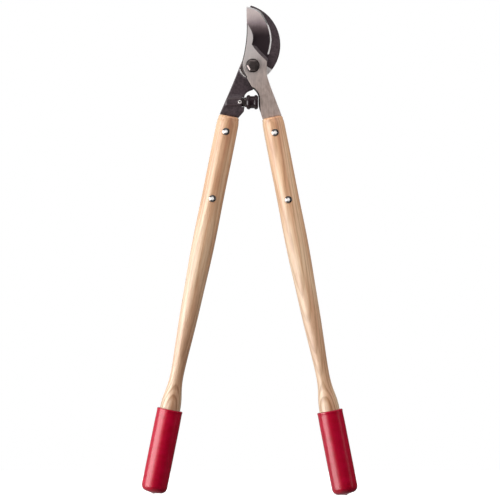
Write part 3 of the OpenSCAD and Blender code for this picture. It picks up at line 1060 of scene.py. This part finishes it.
def build_grip(handle, materials):
    """A sleeve round the end of the wood, with a rolled lip, a blunt conical end and a drip at its tip."""
    start = handle.grip[0, 0]
    end = handle.depths("grip").max() - 0.12
    r = handle.grip[:, 1].max() - 0.06
    wood_end = handle.depths("handle").max()
    inner = [(x + BORE_AIR, d) for x, d in turned_rows(handle.wood) if start < d < wood_end - 3]
    lip = [(inner[0][0], start + 0.2), (r - 2.6, start), (r - 1.2, start + 0.1), (r - 0.35, start + 0.55)]
    lip += [(r, start + 1.5), (r, start + 3.2), (r - 0.28, start + 4.2), (r - 0.32, start + 6)]
    corner_r, slope = 11.0, math.radians(12)
    flat_r = r - corner_r + corner_r * math.sin(slope)
    corner = end - flat_r * math.tan(slope) - corner_r * math.cos(slope)
    steps = np.arange(start + 8, corner, 4)
    side = [(r - 0.32 * (1 - float(smooth((d - start - 6) / 20))), d) for d in steps]
    turn = np.linspace(0, math.pi / 2 - slope, 14)
    round_end = [(r - corner_r + corner_r * math.cos(a), corner + corner_r * math.sin(a)) for a in turn]
    cone = [(x, end - 0.3 - x * math.tan(slope)) for x in (11.0, 8.0, 5.0, 3.2)]
    drip = [(2.2, end - 0.65), (1.6, end - 0.4), (0.9, end - 0.1), (0, end)]
    bore = [(0, wood_end + 0.1), (13.4, wood_end + 0.1)] + inner[::-1] + [lip[0]]
    add_sleeve(handle, lip + side + round_end + cone + drip, bore, materials)


def add_sleeve(handle, outer, bore, materials):
    """A closed grip from the rows of its outside and its bore. The bore ends on the outside's first ring."""
    outer_verts, outer_faces = lathe(outer, handle.place)
    bore_verts, bore_faces = lathe(bore, handle.place)
    offset = len(outer_verts)
    last_ring = len(bore_verts) - SEGMENTS
    joined = {i: i - last_ring if i >= last_ring else i + offset for i in range(len(bore_verts))}
    verts = np.vstack([outer_verts, bore_verts[:last_ring]])
    faces = outward(verts, outer_faces + [tuple(joined[i] for i in f) for f in bore_faces])
    shaded_lip_faces = SEGMENTS * SHADED_LIP_ROWS
    slots = [1 if i < shaded_lip_faces or i >= len(outer_faces) else 0 for i in range(len(faces))]
    add_piece(handle.side + "_grip", verts, faces, materials, handle.body, "grip_vinyl", slots, sharp=50)


def build_rivets(handle, material):
    """Two domed rivets, each one closed turned shape from its crown, painted pale as a highlight, to its
    peened end.
    """
    name = handle.side + "_rivets"
    lo, hi = box_mm(name)
    front, back = lo[1] - MID_Y, hi[1] - MID_Y
    seat = box_mm(handle.side + "_rivet_burrs")[0][1] - MID_Y
    head_r, shank_r, rim = 6.35, 3.0, 0.2
    dome = -seat - front - rim
    cap = [(r, front + dome * (r / head_r) ** 2.2) for r in np.linspace(0, head_r - 0.1, 15)]
    under = [(head_r, -seat - 0.12), (head_r - 0.1, -seat), (shank_r, -seat), (shank_r, seat + 1.2)]
    peen = [(4.2, seat + 1.2), (4.15, seat + 1.8), (3.4, seat + 2.5), (1.8, back - 0.08), (0, back)]
    verts, faces = np.zeros((0, 3)), []
    for d in handle.rivet_depths():
        v, f = lathe(cap + under + peen, handle.place_rivet(d), 48)
        faces += [tuple(i + len(verts) for i in face) for face in outward(v, f)]
        verts = np.vstack([verts, v])
    add_piece(name, verts, faces, [material], handle.body, "rivet_steel", sharp=40)


# ---------------------------------------------------------------- pivot and bumper


def hexagon(angle, half_af, corner_r):
    """Radius of a hexagon with flats at the top and bottom and corners turned down to corner_r."""
    off = angle % (math.pi / 3) - math.pi / 6
    return np.minimum(half_af / np.cos(off), corner_r)


def build_bolt():
    """A head whose six facets curve up to a dome, over a round flange, the journal and the thread."""
    lo, hi = box_mm("pivot_bolt")
    seat = box_mm("thrust_washer")[0][1]
    flange_r = (hi[0] - lo[0]) / 2
    half_af, corner_r, dome = 9.5, 10.4, 2.7
    journal_r, thread_r, thread_y = 6.0, 5.0, BACK_Y - 0.4
    angle = np.linspace(0, 2 * math.pi, SEGMENTS, endpoint=False)
    full = hexagon(angle, half_af, corner_r)
    dome_steps = (0.15, 0.3, 0.45, 0.58, 0.68, 0.76, 0.82, 0.87, 0.92, 0.96, 1.0)
    rows = [(0, lo[1])]
    rows += [(hexagon(angle, half_af * t, corner_r), lo[1] + dome * t**5) for t in dome_steps]
    rows += [(full, seat - 3.4), (full * 1.02, seat - 2.7), (corner_r + 0.6, seat - 2.1)]
    rows += [(flange_r - 0.8, seat - 1.5), (flange_r - 0.2, seat - 1.1), (flange_r, seat - 0.7)]
    rows += [(flange_r, seat - 0.15), (flange_r - 0.2, seat), (journal_r, seat), (journal_r, thread_y)]
    rows += [(thread_r, thread_y), (thread_r, hi[1] - 0.6), (thread_r - 0.6, hi[1]), (0, hi[1])]
    v, f = lathe(rows, lambda q: q)
    materials = [
        bright_metal("bolt_black", (0.2, 0.162, 0.155), 0.14, metallic=0.8),
        # Painted shade: the flange is far darker than the head, though both are the same steel
        bright_metal("bolt_flange_painted_shade", (0.035, 0.027, 0.026), 0.3, metallic=0.3),
    ]
    head_faces = SEGMENTS * (len(dome_steps) + 1)
    slots = [0 if i < head_faces else 1 for i in range(len(f))]
    add_piece("pivot_bolt", v, outward(v, f), materials, "hook_half", "bolt_black", slots, sharp=24)


def build_bumper():
    """Rubber spool: two rounded flanges, each stepping down to a waist."""
    lo, hi = box_mm("rubber_bumper")
    r = (hi[2] - lo[2]) / 2
    corner, flange, waist_r = 4.0, 5.2, r - 1.9
    turn = np.linspace(math.pi / 2, 0, 9)
    half = [(0, 0), (5.0, 0)]
    half += [(r - corner + corner * math.cos(a), corner - corner * math.sin(a)) for a in turn]
    half += [(r, flange), (r - 0.25, flange + 0.45), (r - 1.1, flange + 0.9)]
    half += [(waist_r + 0.2, flange + 1.5), (waist_r, flange + 2.6)]
    rows = [(radius, lo[0] + depth) for radius, depth in half]
    rows += [(radius, hi[0] - depth) for radius, depth in half[::-1]]

    def place(q):
        return np.column_stack([q[:, 1], MID_Y + q[:, 0], BUMPER_Z + q[:, 2]])

    v, f = lathe(rows, place, 72)
    add_piece("rubber_bumper", v, outward(v, f), [rubber()], "hook_half", "rubber")


# ---------------------------------------------------------------- carried-over nodes


def finish_nodes():
    """Materials for the small CAD parts that stay as they are."""
    looks = (
        (bright_metal("zinc_plate", (0.62, 0.61, 0.6), 0.3), ("pivot_washer", "pivot_nut")),
        (bright_metal("bearing_bronze", (0.62, 0.4, 0.18), 0.32), ("thrust_washer", "pivot_bush")),
        (bright_metal("burr_steel", (0.6, 0.58, 0.56), 0.3), ("left_rivet_burrs", "right_rivet_burrs")),
        (bright_metal("lock_nylon", (0.05, 0.13, 0.42), 0.4, metallic=0.0), ("nut_lock_ring",)),
        (
            bright_metal("black_oxide", (0.13, 0.105, 0.1), 0.24, metallic=0.8),
            ("bumper_stud", "bumper_jam_nut", "bumper_washer"),
        ),
    )
    for material, names in looks:
        for name in names:
            materials = frame["nodes"][name].data.materials
            materials.clear()
            materials.append(material)


# ---------------------------------------------------------------- stage


def build_floor():
    """A pale floor at the foot of the grips. Only the camera sees it, so it throws no light on them."""
    half, z = 1300, cad_box[0][2] / MM
    corners = [(-half, -half, z), (half, -half, z), (half, half, z), (-half, half, z)]
    mesh = new_mesh("floor", corners, [(0, 1, 2, 3)])
    m, _, bsdf = nodes_of("floor_white")
    bsdf.inputs["Base Color"].default_value = (0.9, 0.9, 0.9, 1)
    bsdf.inputs["Roughness"].default_value = 0.9
    bsdf.inputs["Emission Color"].default_value = (1, 1, 1, 1)
    bsdf.inputs["Emission Strength"].default_value = 0.6
    mesh.materials.append(m)
    o = new_object("floor", mesh)
    o.visible_diffuse = False
    o.visible_glossy = False


def build_world():
    """White to the camera. To all else, a studio that is dark in front, dim on the right and paler above."""
    w = bpy.data.worlds.new("studio")
    bpy.context.scene.world = w
    w.use_nodes = True
    tree = w.node_tree
    x, y, z = axes(tree, tree.nodes.new("ShaderNodeTexCoord").outputs["Generated"])
    aside = eased(tree, y, 0.06, 0.45, -0.85, -0.25)
    right_dim = eased(tree, x, 1.0, 0.14, 0.0, 0.6)
    above = eased(tree, z, 0.0, 0.3, 0.45, 0.9)
    level = maths(tree, "MULTIPLY_ADD", aside, right_dim, above)
    grey = tree.nodes.new("ShaderNodeCombineColor")
    for channel in ("Red", "Green", "Blue"):
        link(tree, level, grey.inputs[channel])
    seen = tree.nodes.new("ShaderNodeLightPath").outputs["Is Camera Ray"]
    colour = blend_colour(tree, "MIX", seen, grey.outputs["Color"], (1, 1, 1))
    link(tree, colour, tree.nodes["Background"].inputs["Color"])


def area_light(name, azimuth, elevation, far, size, radiance, diffuse=True, glossy=True):
    """A soft panel that faces the object's middle, so many degrees left of the camera and so many up."""
    middle = (cad_box[0] + cad_box[1]) / 2
    a, e = math.radians(azimuth), math.radians(elevation)
    place = middle + far * Vector((-math.sin(a) * math.cos(e), -math.cos(a) * math.cos(e), math.sin(e)))
    data = bpy.data.lights.new(name, "AREA")
    data.shape = "RECTANGLE"
    data.size, data.size_y = size
    data.energy = radiance * math.pi * size[0] * size[1]
    o = new_object(name, data)
    o.location = place
    o.rotation_mode = "QUATERNION"
    o.rotation_quaternion = (middle - place).to_track_quat("-Z", "Y")
    o.visible_camera = False
    o.visible_diffuse = diffuse
    o.visible_glossy = glossy


def build_lights():
    """A softbox on the left with a halo seen only in reflections, a narrow card on the right, and two lights
    that fill without showing in reflections."""
    area_light("softbox", 70, -3, 2.4, (2.3, 2.3), 5.5)
    area_light("halo", 58, -3, 2.7, (3.2, 2.8), 1.5, diffuse=False)
    area_light("card", -76, 9, 2.2, (0.5, 1.9), 0.75)
    area_light("top", 0, 68, 2.2, (1.4, 1.0), 3.0, glossy=False)
    area_light("fill", -50, 35, 1.5, (1.0, 1.0), 3.4, glossy=False)


def build_camera():
    """A long lens straight in front of the object's middle."""
    view, far, sensor = 860.0 * MM, 12.0, 36.0
    data = bpy.data.cameras.new("camera")
    data.sensor_width = sensor
    data.lens = sensor * far / view
    data.clip_end = 100
    o = new_object("camera", data)
    o.location = (-4.6 * MM, -far, -317.3 * MM)
    o.rotation_euler = (math.pi / 2, 0, 0)
    bpy.context.scene.camera = o


# ---------------------------------------------------------------- build

# The rivets' crowns carry a painted highlight
rivet_metal = steel_with_painted_highlight("rivet_painted_highlight", box_mm("left_rivets")[0][1])
# The lip's darker red is painted shade
grip_skin = [vinyl("grip_vinyl", 1.0), vinyl("grip_lip_painted_shade", 0.3)]
grains = (
    (left, {"pith": (-14.0, 62.0), "lean": (0.012, -0.02), "phase": 0.3, "heartwood": 0.3, "pale": 0.9}),
    (right, {"pith": (22.0, 48.0), "lean": (-0.016, 0.014), "phase": 0.8, "heartwood": 0.26, "pale": 1.04}),
)
for handle, grain in grains:
    build_handle(handle, wood(handle, **grain))
    build_grip(handle, grip_skin)
    build_rivets(handle, rivet_metal)
build_blade()
build_hook()
build_bolt()
build_bumper()
finish_nodes()
build_floor()
build_world()
build_lights()
build_camera()
bpy.context.scene.view_settings.view_transform = "Standard"
